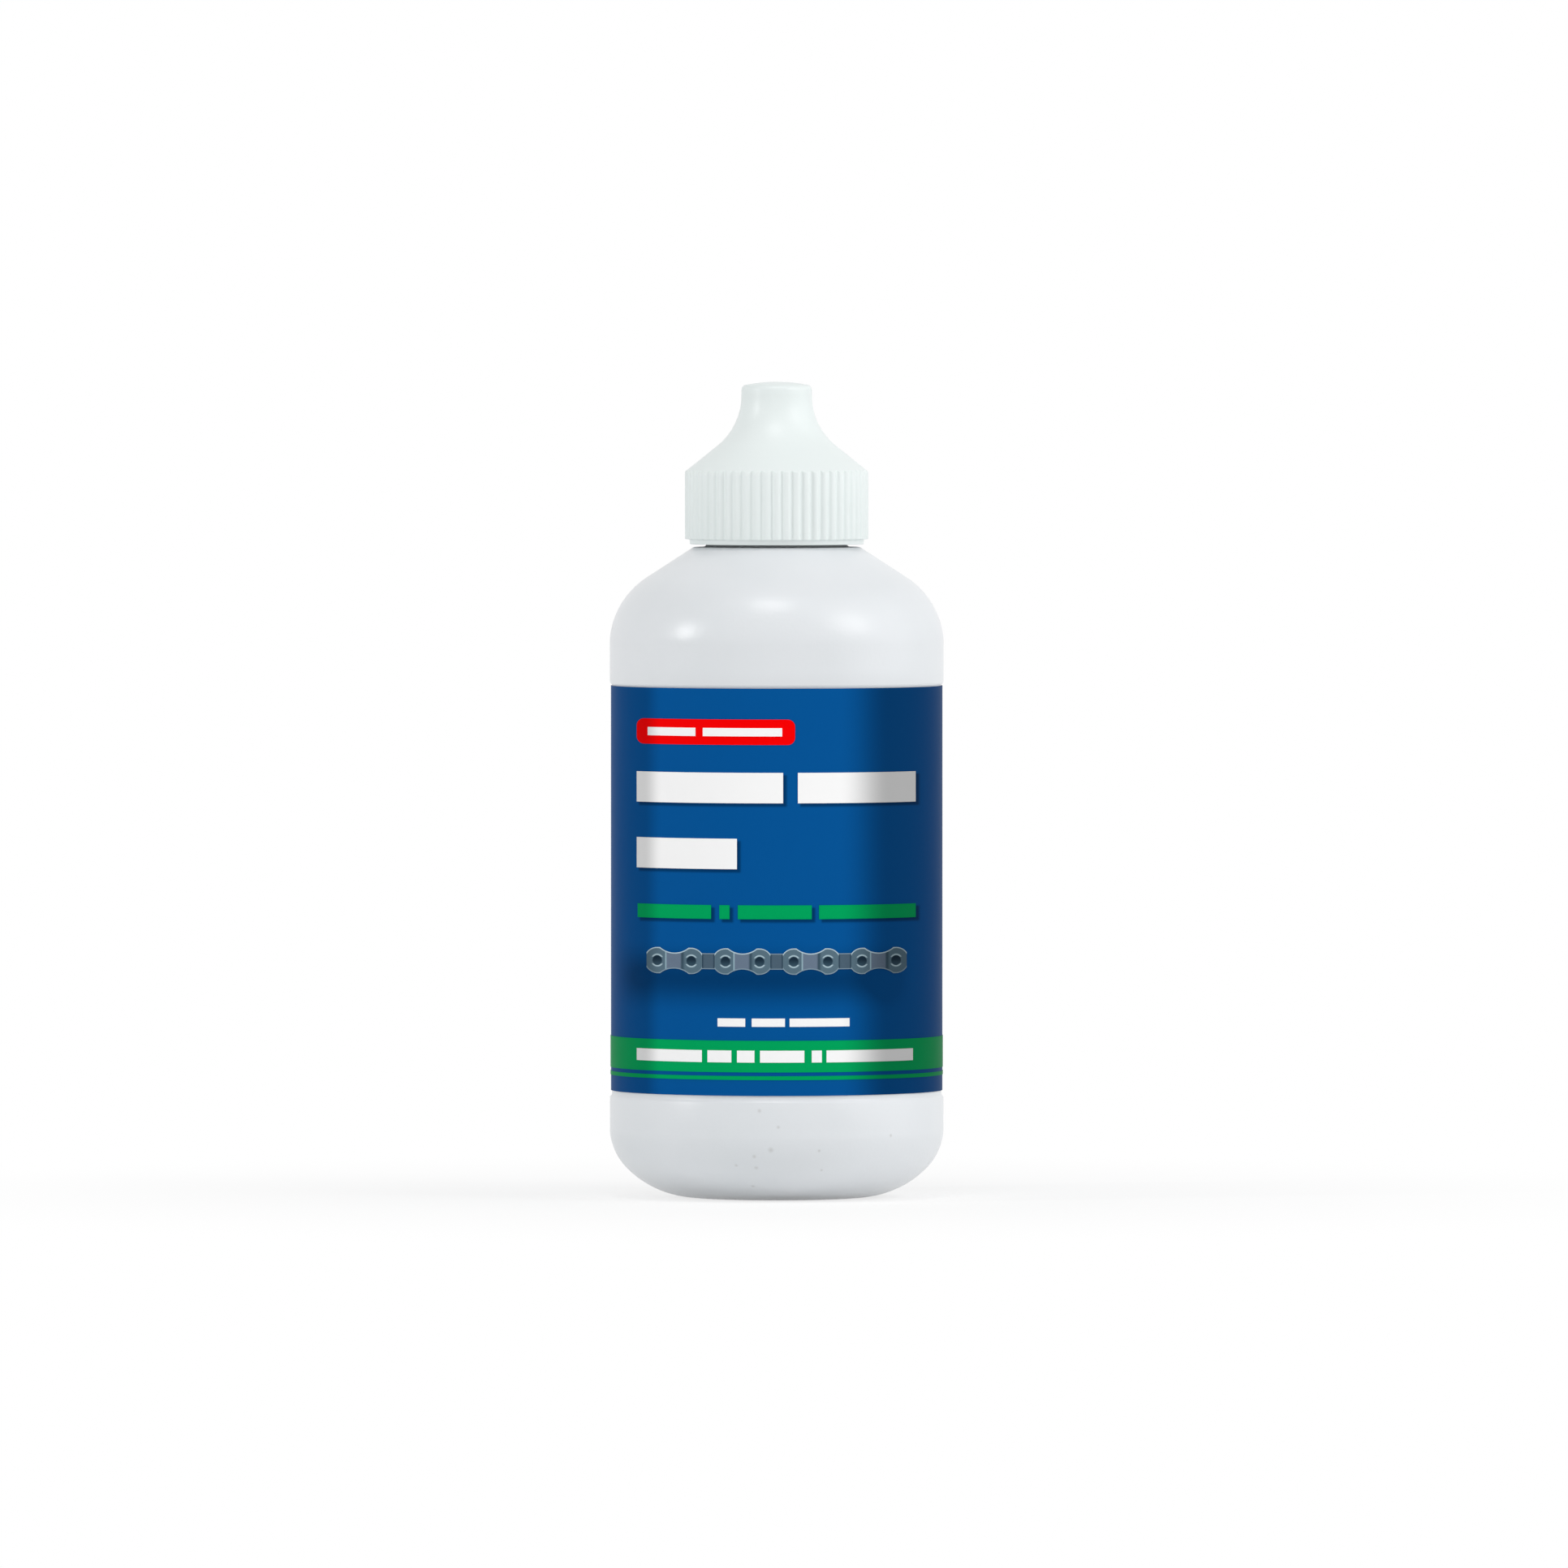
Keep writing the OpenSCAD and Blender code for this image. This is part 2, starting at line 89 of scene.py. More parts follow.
RING_ROUND, LAND_ROUND, NECK_FILLET, RIM_ROUND, BORE_ROUND = 0.3, 0.3, 0.4, 0.3, 0.15
# Heights above the land at which the plain neck has a ring, and the bore's foot, each (out, up)
NECK_RINGS = (3, 5)
BORE_FOOT = [(1.2, 0), (0.2, 0.02), (0, 0.3)]
SIDE_INSIDE_FROM, FLOOR_INSIDE_FROM = 2.6, 1.05
BODY_SIDES = 192
DOME_STEPS, HEEL_STEPS, CORNER_STEPS, SHOULDER_STEPS, SLOPE_STEPS, PANEL_STEPS = 16, 14, 18, 26, 10, 12
# The parting ridge: how proud and how wide it is, where it starts, and its columns of points
RIDGE, RIDGE_SPREAD = 0.02, 0.16
RIDGE_FROM_R, RIDGE_FROM_Z, RIDGE_RISE = 9.2, 2, 1.5
RIDGE_COLUMNS = (-0.45, -0.3, -0.2, -0.1, 0, 0.1, 0.2, 0.3, 0.45)
RIDGE_ROOM = 0.03
PINCH_LENGTH, PINCH_WIDTH, PINCH_HEIGHT, PINCH_CREST, PINCH_CUTS = 11, 0.7, 0.3, 0.55, 11
PITCH = 3.175
THREAD_H = 1.0
THREAD_ROOT_W, THREAD_CREST_W = 1.6, 0.7
THREAD_STEPS, THREAD_SUNK, THREAD_FADE, THREAD_END_DIP = 96, 0.25, 1 / 8, 0.1
NECK_TURNS, THREAD_DROP = 1.25, 1.7
CLOUD_SCALE, CLOUD_DETAIL, CLOUD_SPREAD = 70, 3, (0.3, 0.7)
GRAIN_DETAIL = 2
PLASTIC_IOR, LIGHT_REACH = 1.5, 1.2
BOTTLE_ROUGHNESS = (0.28, 0.34)
AT_AXIS, MERGE_WITHIN = 1e-6, 1e-7
# Faint specks of dust on the front: their colour, and each one's (x, y, z, radius)
DUST = (208, 210, 211)
SPECKS = [(-1.86, -18.07, 10.09, 0.32), (0.18, -18.17, 8.32, 0.28), (-0.62, -17.91, 5.84, 0.45),
          (12.39, -13.3, 7.23, 0.28), (-2.43, -17.49, 5.12, 0.34), (-2.21, -16.79, 3.86, 0.34),
          (4.6, -17.28, 5.73, 0.26), (-4.38, -16.54, 4.12, 0.28), (4.87, -15.99, 3.58, 0.24),
          (-2.57, -14.42, 1.77, 0.34)]


def arc(centre, radius, start, end, steps):
    """Points on a circle in an outline, from start to end degrees, both included."""
    turns = [math.radians(start + (end - start) * i / steps) for i in range(steps + 1)]
    return [(centre[0] + radius * math.cos(t), centre[1] + radius * math.sin(t)) for t in turns]


def eased(corner, before, after, radius, steps=4):
    """A small round that takes the place of a sharp corner between two neighbours in an outline."""
    c = Vector(corner)
    a = (Vector(before) - c).normalized()
    b = (Vector(after) - c).normalized()
    half = a.angle(b) / 2
    reach = radius / math.tan(half)
    centre = c + (a + b).normalized() * radius / math.sin(half)
    points = []
    for i in range(steps + 1):
        on_line = (c + a * reach).lerp(c + b * reach, i / steps)
        points.append(tuple(centre + (on_line - centre).normalized() * radius))
    return points


def softened(outline, radii):
    """An outline with the numbered corners rounded."""
    made = []
    for i, point in enumerate(outline):
        if i in radii:
            made += eased(point, outline[i - 1], outline[(i + 1) % len(outline)], radii[i])
        else:
            made.append(point)
    return made


def revolved(outline, angles, swell=None):
    """A closed outline of (radius, height) in millimetres, turned about the axis."""
    shape = bmesh.new()
    rings = []
    for r, z in outline:
        if r < AT_AXIS:
            rings.append([shape.verts.new((0, 0, z * MM))])
            continue
        radii = [r + (swell(r, z, a) if swell else 0) for a in angles]
        rings.append([shape.verts.new((q * math.cos(a) * MM, q * math.sin(a) * MM, z * MM))
                      for q, a in zip(radii, angles)])
    sides = len(angles)
    for low, high in zip(rings, rings[1:] + rings[:1]):
        for i in range(sides):
            k = (i + 1) % sides
            corners = [low[i % len(low)], low[k % len(low)], high[k % len(high)], high[i % len(high)]]
            corners = list(dict.fromkeys(corners))
            if len(corners) > 2:
                shape.faces.new(corners)
    return shape


def add_thread(shape, root_r, tip_r, z, turn, turns):
    """A rounded thread swept up a helix, sunk in its wall and faded out at both ends."""
    out = 1 if tip_r > root_r else -1
    flank = (THREAD_ROOT_W - THREAD_CREST_W) / 2 / THREAD_H
    half_section = [(-THREAD_SUNK, 1), (0, 1), (0.5, 1), (0.8, 1), (0.95, 0.9), (1, 0.7)]
    section = [(h, -side) for h, side in half_section] + half_section[::-1]
    steps = round(turns * THREAD_STEPS)
    fade = THREAD_STEPS * THREAD_FADE
    rings = []
    for i in range(steps + 1):
        rise = max(-THREAD_END_DIP, min(1, (min(i, steps - i) - 0.5) / fade))
        rise = rise if rise < 0 else rise * rise * (3 - 2 * rise)
        angle = math.radians(turn) + 2 * math.pi * i / THREAD_STEPS
        ring = []
        for h, side in section:
            depth = h * THREAD_H * (rise if h > 0 else 1)
            half = THREAD_ROOT_W / 2 - flank * depth
            r = root_r + out * depth
            level = z + PITCH * i / THREAD_STEPS + side * half
            ring.append(shape.verts.new((r * math.cos(angle) * MM, r * math.sin(angle) * MM, level * MM)))
        rings.append(ring)
    count = len(section)
    for low, high in zip(rings, rings[1:]):
        for i in range(count):
            k = (i + 1) % count
            shape.faces.new((low[i], low[k], high[k], high[i]))
    shape.faces.new(rings[0])
    shape.faces.new(reversed(rings[-1]))


def finished(shape, name, crease=40):
    """The shape as an object, closed, facing outwards and smooth but for its creases."""
    bmesh.ops.remove_doubles(shape, verts=shape.verts, dist=MERGE_WITHIN)
    bmesh.ops.recalc_face_normals(shape, faces=shape.faces)
    mesh = bpy.data.meshes.new(name)
    shape.to_mesh(mesh)
    shape.free()
    mesh.shade_smooth()
    mesh.set_sharp_from_angle(angle=math.radians(crease))
    thing = bpy.data.objects.new(name, mesh)
    scene.collection.objects.link(thing)
    return thing


def even(sides):
    return [2 * math.pi * i / sides for i in range(sides)]


def body_outline(inset):
    """The body's side from the heel to the land, set in by inset."""
    points = arc(HEEL_AT, HEEL_R - inset, -90, -45, HEEL_STEPS)
    points += arc(CORNER_AT, CORNER_R - inset, -45, 0, CORNER_STEPS)[1:]
    if not inset:
        low, high = PANEL
        points = [(min(r, BODY_R), z) for r, z in points]
        points += [(BODY_R, low - PLAIN_BELOW), (BODY_R, low - PANEL_RAMP - RAMP_EASE),
                   (BODY_R - RAMP_ROUND, low - PANEL_RAMP), (PANEL_R + RAMP_ROUND, low - RAMP_EASE / 2),
                   (PANEL_R, low + RAMP_EASE)]
        points += [(PANEL_R, low + (high - low) * i / PANEL_STEPS) for i in range(1, PANEL_STEPS)]
        points += [(PANEL_R, high - RAMP_EASE), (PANEL_R + RAMP_ROUND, high + RAMP_EASE / 2),
                   (BODY_R - RAMP_ROUND, high + PANEL_RAMP), (BODY_R, high + PANEL_RAMP + RAMP_EASE),
                   (BODY_R, high + PLAIN_ABOVE)]
    shoulder = arc(SHOULDER_AT, SHOULDER_R - inset, 0, 90 - SHOULDER_SLOPE, SHOULDER_STEPS)
    points += [(min(r, BODY_R), z) for r, z in shoulder]
    start, end = Vector(points[-1]), Vector((LAND[0], LAND[1] - inset))
    points += [tuple(start.lerp(end, i / SLOPE_STEPS)) for i in range(1, SLOPE_STEPS)]
    return points


dome_r = (RING_R * RING_R + PUSH_UP * PUSH_UP) / (2 * PUSH_UP)


def dome(r, rise=0):
    """Height of the hollow of the base at radius r, raised by rise."""
    return math.sqrt((dome_r + rise) ** 2 - r ** 2) + PUSH_UP - dome_r


dome_radii = [RING_R * i / DOME_STEPS for i in range(DOME_STEPS + 1)]
under = [(r, dome(r)) for r in dome_radii]
outside = under[:-1] + eased(under[-1], under[-2], (HEEL_AT[0], 0), RING_ROUND)
outside += body_outline(0)
outside += eased(LAND, outside[-1], (NECK_R, LAND[1]), LAND_ROUND)
outside += arc((NECK_R + NECK_FILLET, LAND[1] + NECK_FILLET), NECK_FILLET, 270, 180, steps=6)
outside += [(NECK_R, LAND[1] + up) for up in NECK_RINGS]
outside += arc((NECK_R - RIM_ROUND, RIM_Z - RIM_ROUND), RIM_ROUND, 0, 90, steps=5)
outside += arc((BORE_R + BORE_ROUND, RIM_Z - BORE_ROUND), BORE_ROUND, 90, 180, steps=3)
inside = [(r, dome(r, WALL)) for r in dome_radii if dome(r, WALL) > FLOOR_INSIDE_FROM]
inside += [p for p in body_outline(WALL) if p[1] > SIDE_INSIDE_FROM]
inside += [(BORE_R + out, LAND[1] - WALL + up) for out, up in BORE_FOOT]

ridge_angles = [a / BODY_R for a in RIDGE_COLUMNS]
body_angles = sorted([a for a in even(BODY_SIDES) if abs(math.sin(a)) > RIDGE_ROOM]
                     + [a % (2 * math.pi) for a in ridge_angles] + [math.pi + a for a in ridge_angles])


def parting_ridge(r, z, angle):
    """The mould's parting line stands a little proud of the body on both sides."""
    if r < RIDGE_FROM_R or z < RIDGE_FROM_Z:
        return 0
    off = math.asin(max(-1, min(1, math.sin(angle)))) * r / RIDGE_SPREAD
    return RIDGE * math.exp(-off * off) * min(1, (r - RIDGE_FROM_R) / RIDGE_RISE)


neck_thread_z = RIM_Z - THREAD_DROP - NECK_TURNS * PITCH
blown = revolved(outside + inside[::-1], body_angles, parting_ridge)
add_thread(blown, NECK_R, NECK_R + THREAD_H, neck_thread_z, 0, NECK_TURNS)
bottle = finished(blown, "blown_bottle")

pinch = bmesh.new()
bmesh.ops.create_cube(pinch, size=1)
lengthwise = [e for e in pinch.edges if abs(e.verts[0].co.x - e.verts[1].co.x) > 0.5]
bmesh.ops.subdivide_edges(pinch, edges=lengthwise, cuts=PINCH_CUTS, use_grid_fill=True)
for v in pinch.verts:
    x, y, buried = v.co.x * PINCH_LENGTH, v.co.y * PINCH_WIDTH, v.co.z > 0
    fade = 1 - (2 * abs(x) / PINCH_LENGTH) ** 4
    y *= 1 if buried else PINCH_CREST
    v.co = Vector((x * MM, y * MM, (dome(x) + PINCH_HEIGHT * (1 if buried else -fade)) * MM))
pinch_ridge = finished(pinch, "pinch_off_ridge", crease=60)


def socket(group, name, kind, out=False, default=None):
    made = group.interface.new_socket(name, in_out="OUTPUT" if out else "INPUT", socket_type=kind)
    if default is not None:
        made.default_value = default
    return made


def moulded_skin():
    """Shared by every plastic: a broad unevenness of tone, and the fine grain of the mould."""
    group = bpy.data.node_groups.new("moulded skin", "ShaderNodeTree")
    socket(group, "Grain size", "NodeSocketFloat", default=0.35)
    socket(group, "Roughness low", "NodeSocketFloat", default=0.35)
    socket(group, "Roughness high", "NodeSocketFloat", default=0.45)
    socket(group, "Tone", "NodeSocketFloat", out=True)
    socket(group, "Roughness", "NodeSocketFloat", out=True)
    socket(group, "Height", "NodeSocketFloat", out=True)
    nodes, link = group.nodes, group.links.new
    given, put = nodes.new("NodeGroupInput"), nodes.new("NodeGroupOutput")
    place = nodes.new("ShaderNodeTexCoord")
    cloud = nodes.new("ShaderNodeTexNoise")
    cloud.inputs["Scale"].default_value = CLOUD_SCALE
    cloud.inputs["Detail"].default_value = CLOUD_DETAIL
    link(place.outputs["Object"], cloud.inputs["Vector"])
    spread = nodes.new("ShaderNodeMapRange")
    spread.inputs["From Min"].default_value = CLOUD_SPREAD[0]
    spread.inputs["From Max"].default_value = CLOUD_SPREAD[1]
    link(cloud.outputs["Fac"], spread.inputs["Value"])
    link(spread.outputs["Result"], put.inputs["Tone"])
    gloss = nodes.new("ShaderNodeMapRange")
    link(cloud.outputs["Fac"], gloss.inputs["Value"])
    link(given.outputs["Roughness low"], gloss.inputs["To Min"])
    link(given.outputs["Roughness high"], gloss.inputs["To Max"])
    link(gloss.outputs["Result"], put.inputs["Roughness"])
    per_metre = nodes.new("ShaderNodeMath")
    per_metre.operation = "DIVIDE"
    per_metre.inputs[0].default_value = 1 / MM
    link(given.outputs["Grain size"], per_metre.inputs[1])
    grain = nodes.new("ShaderNodeTexNoise")
    grain.inputs["Detail"].default_value = GRAIN_DETAIL
    link(place.outputs["Object"], grain.inputs["Vector"])
    link(per_metre.outputs["Value"], grain.inputs["Scale"])
    link(grain.outputs["Fac"], put.inputs["Height"])
    return group


SKIN = moulded_skin()


def colour(red, green, blue):
    """A colour from its values on a screen, 0 to 255, as the shader takes it."""
    def linear(v):
        v /= 255
        return v / 12.92 if v <= 0.04045 else ((v + 0.055) / 1.055) ** 2.4
    return (linear(red), linear(green), linear(blue), 1)


def plastic(name, low, high, roughness, grain_size, grain_height, glow=0.0):
    """Moulded plastic between two close tones. glow is how far light enters it."""
    made = bpy.data.materials.new(name)
    made.use_nodes = True
    nodes, link = made.node_tree.nodes, made.node_tree.links.new
    shader = nodes["Principled BSDF"]
    shader.inputs["IOR"].default_value = PLASTIC_IOR
    shader.inputs["Subsurface Weight"].default_value = glow
    shader.inputs["Subsurface Radius"].default_value = (1, 1, 1)
    shader.inputs["Subsurface Scale"].default_value = LIGHT_REACH * MM
    skin = nodes.new("ShaderNodeGroup")
    skin.node_tree = SKIN
    skin.inputs["Grain size"].default_value = grain_size
    skin.inputs["Roughness low"].default_value = roughness[0]
    skin.inputs["Roughness high"].default_value = roughness[1]
    tint = nodes.new("ShaderNodeMix")
    tint.data_type = "RGBA"
    tint.name = "tint"
    tint.inputs["A"].default_value = low
    tint.inputs["B"].default_value = high
    link(skin.outputs["Tone"], tint.inputs["Factor"])
    link(tint.outputs["Result"], shader.inputs["Base Color"])
    link(skin.outputs["Roughness"], shader.inputs["Roughness"])
    bump = nodes.new("ShaderNodeBump")
    bump.inputs["Distance"].default_value = grain_height * MM
    bump.inputs["Strength"].default_value = 1
    link(skin.outputs["Height"], bump.inputs["Height"])
    link(bump.outputs["Normal"], shader.inputs["Normal"])
    return made


def speck_mask():
    """A soft dark speck on the front, round the given place and of the given radius."""
    group = bpy.data.node_groups.new("speck", "ShaderNodeTree")
    socket(group, "Place", "NodeSocketVector")
    socket(group, "Radius", "NodeSocketFloat")
    socket(group, "Speck", "NodeSocketFloat", out=True)
    nodes, link = group.nodes, group.links.new
    given, put = nodes.new("NodeGroupInput"), nodes.new("NodeGroupOutput")
    here = nodes.new("ShaderNodeTexCoord")
    away = nodes.new("ShaderNodeVectorMath")
    away.operation = "DISTANCE"
    link(here.outputs["Object"], away.inputs[0])
    link(given.outputs["Place"], away.inputs[1])
    fade = nodes.new("ShaderNodeMapRange")
    fade.interpolation_type = "SMOOTHSTEP"
    link(away.outputs["Value"], fade.inputs["Value"])
    link(given.outputs["Radius"], fade.inputs["From Min"])
    fade.inputs["From Max"].default_value = 0
    link(fade.outputs["Result"], put.inputs["Speck"])
    return group


bottle_plastic = plastic("bottle_plastic", colour(223, 227, 230), colour(228, 231, 234), BOTTLE_ROUGHNESS,
                         grain_size=0.5, grain_height=0.012, glow=0.1)
nodes, link = bottle_plastic.node_tree.nodes, bottle_plastic.node_tree.links.new
SPECK = speck_mask()
marked = nodes["tint"].outputs["Result"]
for x, y, z, radius in SPECKS:
    speck = nodes.new("ShaderNodeGroup")
    speck.node_tree = SPECK
    speck.inputs["Place"].default_value = (x * MM, y * MM, z * MM)
    speck.inputs["Radius"].default_value = radius * MM
    smear = nodes.new("ShaderNodeMix")
    smear.data_type = "RGBA"
    link(speck.outputs["Speck"], smear.inputs["Factor"])
    link(marked, smear.inputs["A"])
    smear.inputs["B"].default_value = colour(*DUST)
    marked = smear.outputs["Result"]
link(marked, nodes["Principled BSDF"].inputs["Base Color"])
for piece in (bottle, pinch_ridge):
    piece.data.materials.append(bottle_plastic)
    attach(piece, "bottle_body")
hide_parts("bottle")

# ------------------------------------------------------------------ nozzle
# Soft natural polyethylene, injection-moulded and pressed into the bore of the neck. Its flange
# sits on the rim, and the oil drips from the small hole in its tip.
FLANGE_R, FLANGE_Z = 7.35, 78.6
TIP_R, TIP_Z = 1.7, 86.9
SLEEVE_Z, SLEEVE_R = 72.9, 5.3
LEAD_IN = (0.45, 0.9)
SHOULDER_FOOT_R = 5.0
NOZZLE_R, NOZZLE_SHOULDER_H = 2.9, 1.8
ORIFICE_R, ORIFICE_L = 0.55, 1.2
THROAT_R, THROAT_STEP = 0.9, 0.35
FUNNEL_TOP, FUNNEL_FOOT_DROP = (2.0, 1.35), 0.45
# Rounds at the numbered corners of the outline
NOZZLE_ROUNDS = {1: 0.2, 2: 0.3, 4: 0.1, 5: 0.12, 6: 0.3, 7: 0.8, 8: 0.4, 9: 0.1, 12: 0.5}
NOZZLE_SIDES = 96

nozzle_outline = [(SLEEVE_R, SLEEVE_Z), (BORE_R - LEAD_IN[0], SLEEVE_Z), (BORE_R, SLEEVE_Z + LEAD_IN[1]),
                  (BORE_R, RIM_Z), (FLANGE_R, RIM_Z), (FLANGE_R, FLANGE_Z), (SHOULDER_FOOT_R, FLANGE_Z),
                  (NOZZLE_R, FLANGE_Z + NOZZLE_SHOULDER_H), (TIP_R, TIP_Z), (ORIFICE_R, TIP_Z),
                  (ORIFICE_R, TIP_Z - ORIFICE_L), (THROAT_R, TIP_Z - ORIFICE_L - THROAT_STEP),
                  (FUNNEL_TOP[0], FLANGE_Z + FUNNEL_TOP[1]), (SLEEVE_R, RIM_Z - FUNNEL_FOOT_DROP)]
nozzle = finished(revolved(softened(nozzle_outline, NOZZLE_ROUNDS), even(NOZZLE_SIDES)), "dropper_nozzle")
nozzle_plastic = plastic("nozzle_plastic", colour(238, 238, 231), colour(243, 243, 237), (0.28, 0.36),
                         grain_size=0.4, grain_height=0.006, glow=0.4)
nozzle.data.materials.append(nozzle_plastic)
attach(nozzle, "bottle_body")
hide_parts("nozzle_plug")

# ------------------------------------------------------------------ seal ring
# A ring of soft foamed liner, stamped from sheet, between the nozzle's flange and the cap. Its
# cut edges are slightly rounded, and fine pores show on all of it.
SEAL_R, SEAL_Z = 7.55, 79.1
SEAL_ROUND = 0.08

seal_outline = [(SLEEVE_R, FLANGE_Z), (SEAL_R, FLANGE_Z), (SEAL_R, SEAL_Z), (SLEEVE_R, SEAL_Z)]
seal_rounds = dict.fromkeys(range(len(seal_outline)), SEAL_ROUND)
seal = finished(revolved(softened(seal_outline, seal_rounds), even(NOZZLE_SIDES)), "foam_seal")
seal_foam = plastic("seal_foam", colour(226, 228, 230), colour(236, 238, 239), (0.75, 0.9), grain_size=0.18,
                    grain_height=0.04, glow=0.1)
seal.data.materials.append(seal_foam)
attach(seal, "seal")
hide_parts("seal_ring")

# ------------------------------------------------------------------ cap
# Injection-moulded polypropylene in one piece, white with a trace of green: a skirt of fine round
# ribs over a smooth lip, and a flared shoulder that runs into a hollow nose. The thread is inside.
RIBS = 56
GROOVE_R, GROOVE_SOFTNESS = 9.75, 0.0012
RIB_R = 0.5
RIB_AT = 9.5
# Columns of points on half a rib, in degrees from its middle, and rings down the slope above it
HALF_RIB_COLUMNS = (0.7, 1.35, 1.9, 2.35, 2.65, 2.9)
SLOPE_RINGS = (0.85, 0.8, 0.5)
# Rounds at the numbered corners of the skirt's outline
SKIRT_ROUNDS = {1: 0.1, 2: 0.1, 3: 0.04, 4: 0.12, 5: 0.12}
CAP_Z, CAP_TOP = 71.2, 88.9
LIP_R, LIP_TOP = 9.5, 71.75
NOSE_R = 3.85
FLARE_R, FLARE_AT = 7.0, (10.85, 87.4)
FLARE_SLOPE = 38.8
CAP_WALL = 1.2
CAP_BORE_R = 8.85
CEILING_Z = 87.7
CROWN_R, CROWN_EDGE = 18, 0.6
CROWN_INSET = 0.002
# The ring that presses on the seal, and the ceiling from it to the bore, each (radius, height)
PRESS_IN, PRESS_OUT, PRESS_TOP, PRESS_EDGE = 5.775, 6.875, 80.9, 0.1
CEILING_STEP = [(PRESS_OUT, 80.0), (7.4, 79.65), (CAP_BORE_R - 0.1, 78.57), (CAP_BORE_R, 78.3)]
CEILING_EDGE = 0.2
BORE_RING_Z = 73.5
PIN_Z, SEALING_PIN_R, PIN_EDGE = 86.2, 0.45, 0.15
FLARE_STEPS, CROWN_STEPS, CAVITY_STEPS = 18, 6, 10
THREAD_LEAD, THREAD_CLEAR, FLANK_GAP = 0.3, 0.2, 0.12
CAP_TURNS = 1.1
CAP_ROUGHNESS = (0.34, 0.42)
JOIN_WITHIN = 1e-6

flare_turn = 270 - FLARE_SLOPE
slope_end = Vector(arc(FLARE_AT, FLARE_R, flare_turn, flare_turn, steps=1)[0])
slope_start = slope_end + Vector((1, -math.tan(math.radians(FLARE_SLOPE)))) * (GROOVE_R - slope_end[0])
crown_at = (0, CAP_TOP - CROWN_R)
edge_x = NOSE_R - CROWN_EDGE
edge_at = (edge_x, crown_at[1] + math.sqrt((CROWN_R - CROWN_EDGE) ** 2 - edge_x ** 2))
edge_turn = math.degrees(math.atan2(edge_at[1] - crown_at[1], edge_x))

upper = arc(FLARE_AT, FLARE_R, flare_turn, 180, FLARE_STEPS)
upper += arc(edge_at, CROWN_EDGE, 0, edge_turn, CROWN_STEPS)
upper += arc(crown_at, CROWN_R, edge_turn, 90, CROWN_STEPS)[1:-1] + [(0, CAP_TOP - CROWN_INSET)]
cavity = [(0, PIN_Z), (SEALING_PIN_R - PIN_EDGE, PIN_Z), (SEALING_PIN_R, PIN_Z + PIN_EDGE),
          (SEALING_PIN_R, CEILING_Z)]
cavity += [(NOSE_R - CAP_WALL - CEILING_EDGE, CEILING_Z), (NOSE_R - CAP_WALL, CEILING_Z - CEILING_EDGE)]
cavity += arc(FLARE_AT, FLARE_R + CAP_WALL, 180, flare_turn, CAVITY_STEPS)
cavity += [(PRESS_IN, PRESS_TOP), (PRESS_IN, SEAL_Z + PRESS_EDGE), (PRESS_IN + PRESS_EDGE, SEAL_Z),
           (PRESS_OUT - PRESS_EDGE, SEAL_Z), (PRESS_OUT, SEAL_Z + PRESS_EDGE)]
cavity += CEILING_STEP + [(CAP_BORE_R, BORE_RING_Z)]


def side_radius(angle):
    """The skirt's outside at this angle from a rib's middle, softened where the rib meets the groove."""
    off = RIB_AT * math.sin(angle)
    stand = RIB_AT * math.cos(angle) + math.sqrt(max(0, RIB_R * RIB_R - off * off)) - GROOVE_R
    return GROOVE_R + (stand + math.sqrt(stand * stand + GROOVE_SOFTNESS)) / 2 - GROOVE_SOFTNESS


def skirt_outline(angle):
    """One upright line down the outside of the skirt and round its foot, at this angle."""
    side = side_radius(angle)
    on_slope = slope_end[1] - (side - slope_end[0]) * math.tan(math.radians(FLARE_SLOPE))
    rings = [tuple(slope_end.lerp(slope_start, t)) for t in SLOPE_RINGS]
    corners = [(CAP_BORE_R, BORE_RING_Z), (CAP_BORE_R, CAP_Z), (LIP_R, CAP_Z), (LIP_R, LIP_TOP),
               (side, LIP_TOP), (side, on_slope)] + rings + [tuple(slope_end)]
    return softened(corners, SKIRT_ROUNDS)[1:-1]


rib_angle = 2 * math.pi / RIBS
half_columns = [math.radians(a) for a in HALF_RIB_COLUMNS]
columns = [-rib_angle / 2] + [-a for a in reversed(half_columns)] + [0] + half_columns + [rib_angle / 2]

wedge = bmesh.new()
outlines = [skirt_outline(a) + upper + cavity for a in columns]
lines = [[wedge.verts.new((r * math.cos(a) * MM, r * math.sin(a) * MM, z * MM))
          for (r, z), a in zip(row, columns)] for row in zip(*outlines)]
for low, high in zip(lines, lines[1:] + lines[:1]):
    if low[0].co.xy.length + high[0].co.xy.length < AT_AXIS * MM:
        continue
    for i in range(len(columns) - 1):
        wedge.faces.new((low[i], low[i + 1], high[i + 1], high[i]))
wedge_mesh = bpy.data.meshes.new("cap_wedge")
wedge.to_mesh(wedge_mesh)
wedge.free()
wedge_object = bpy.data.objects.new("cap_wedge", wedge_mesh)
scene.collection.objects.link(wedge_object)


